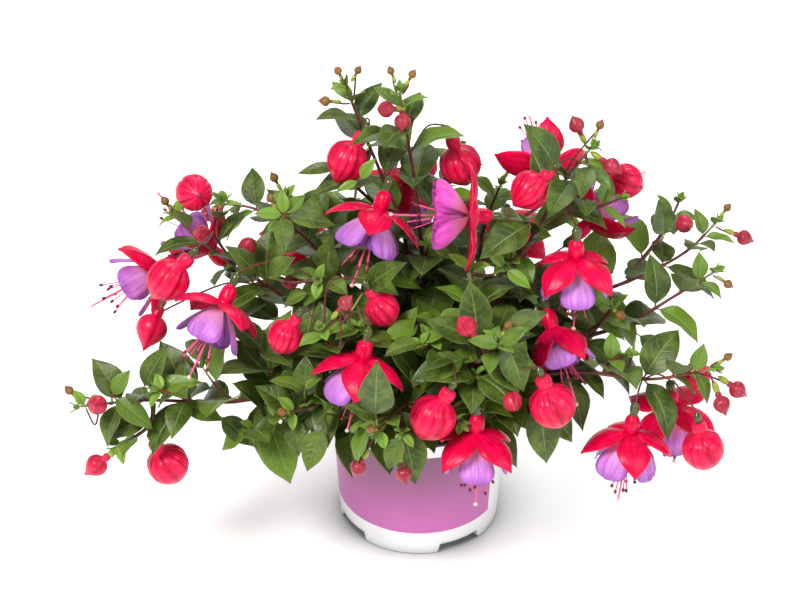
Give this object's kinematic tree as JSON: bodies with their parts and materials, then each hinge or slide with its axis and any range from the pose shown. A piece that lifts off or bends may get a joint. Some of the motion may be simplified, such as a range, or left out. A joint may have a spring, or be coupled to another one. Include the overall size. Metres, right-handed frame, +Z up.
{
  "type": "potted fuchsia plant",
  "caption": "Bushy trailing fuchsia with red and violet hanging flowers and round red buds, standing in a small white plastic nursery pot with a plain purple band.",
  "frame": {"origin": "centre of the pot's flat base, where it stands", "axes": "+Z up, +X to the right of the pictured side along the plant's longest spread, -Y the pictured front"},
  "size_m": [0.4314, 0.2688, 0.3345],
  "materials": {
    "calyx": "satin petal",
    "corolla": "soft petal",
    "bud": "satin petal",
    "foliage": "matt green leaf with reddish stems",
    "pot": "white thermoformed plastic, black inside and rim, plain purple band",
    "soil": "dark peat potting soil"
  },
  "bodies": {
    "root": {"bloom_01_calyx": "calyx", "bloom_01_corolla": "corolla", "bloom_02_calyx": "calyx", "bloom_02_corolla": "corolla", "bloom_03_calyx": "calyx", "bloom_03_corolla": "corolla", "bloom_04_calyx": "calyx", "bloom_04_corolla": "corolla", "bloom_05_calyx": "calyx", "bloom_05_corolla": "corolla", "bloom_06_calyx": "calyx", "bloom_06_corolla": "corolla", "bloom_07_calyx": "calyx", "bloom_07_corolla": "corolla", "bloom_08_calyx": "calyx", "bloom_08_corolla": "corolla", "bloom_09_calyx": "calyx", "bloom_09_corolla": "corolla", "bloom_10_calyx": "calyx", "bloom_10_corolla": "corolla", "bloom_11_calyx": "calyx", "bloom_11_corolla": "corolla", "bloom_12_calyx": "calyx", "bloom_12_corolla": "corolla", "bloom_13_calyx": "calyx", "bloom_13_corolla": "corolla", "bloom_14_calyx": "calyx", "bloom_14_corolla": "corolla", "bloom_15_calyx": "calyx", "bloom_15_corolla": "corolla", "bloom_16_calyx": "calyx", "bloom_16_corolla": "corolla", "bud_01": "bud", "bud_02": "bud", "bud_03": "bud", "bud_04": "bud", "bud_05": "bud", "bud_06": "bud", "bud_07": "bud", "bud_08": "bud", "bud_09": "bud", "bud_10": "bud", "bud_11": "bud", "bud_12": "bud", "shoot_top_left": "foliage", "shoot_top": "foliage", "shoot_right_high": "foliage", "shoot_right_back": "foliage", "shoot_right_mid": "foliage", "shoot_right_low": "foliage", "shoot_left_low": "foliage", "shoot_left_mid": "foliage", "shoot_left_high": "foliage", "shoot_front_left": "foliage", "shoot_front": "foliage", "shoot_front_right": "foliage", "shoot_back_left": "foliage", "shoot_back_right": "foliage", "pot": "pot", "soil": "soil"}
  },
  "joints": []
}
